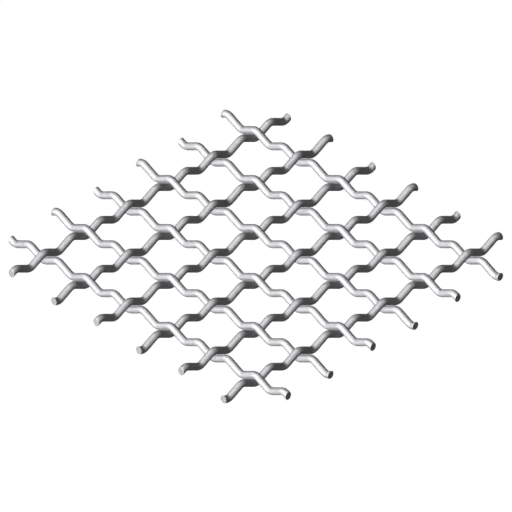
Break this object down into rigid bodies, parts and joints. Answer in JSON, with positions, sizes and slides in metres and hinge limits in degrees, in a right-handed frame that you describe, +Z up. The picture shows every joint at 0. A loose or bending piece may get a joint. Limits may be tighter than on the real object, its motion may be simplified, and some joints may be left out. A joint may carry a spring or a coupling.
{
  "type": "crimped wire mesh",
  "caption": "Square piece of woven mesh in round steel wire, each wire pre-crimped with extra bends between its crossings, ends cut square and left free.",
  "frame": {"origin": "centre of the sheet on the level floor it lies on, at the height of its lowest bends", "axes": "+Z up through the sheet's thickness, +Y along the warp wires, +X along the weft wires"},
  "size_m": [0.196, 0.196, 0.008],
  "materials": {
    "steel_wire": "satin"
  },
  "bodies": {
    "root": {"warp_wire_1": "steel_wire", "warp_wire_2": "steel_wire", "warp_wire_3": "steel_wire", "warp_wire_4": "steel_wire", "warp_wire_5": "steel_wire", "warp_wire_6": "steel_wire", "weft_wire_1": "steel_wire", "weft_wire_2": "steel_wire", "weft_wire_3": "steel_wire", "weft_wire_4": "steel_wire", "weft_wire_5": "steel_wire", "weft_wire_6": "steel_wire"}
  },
  "joints": []
}
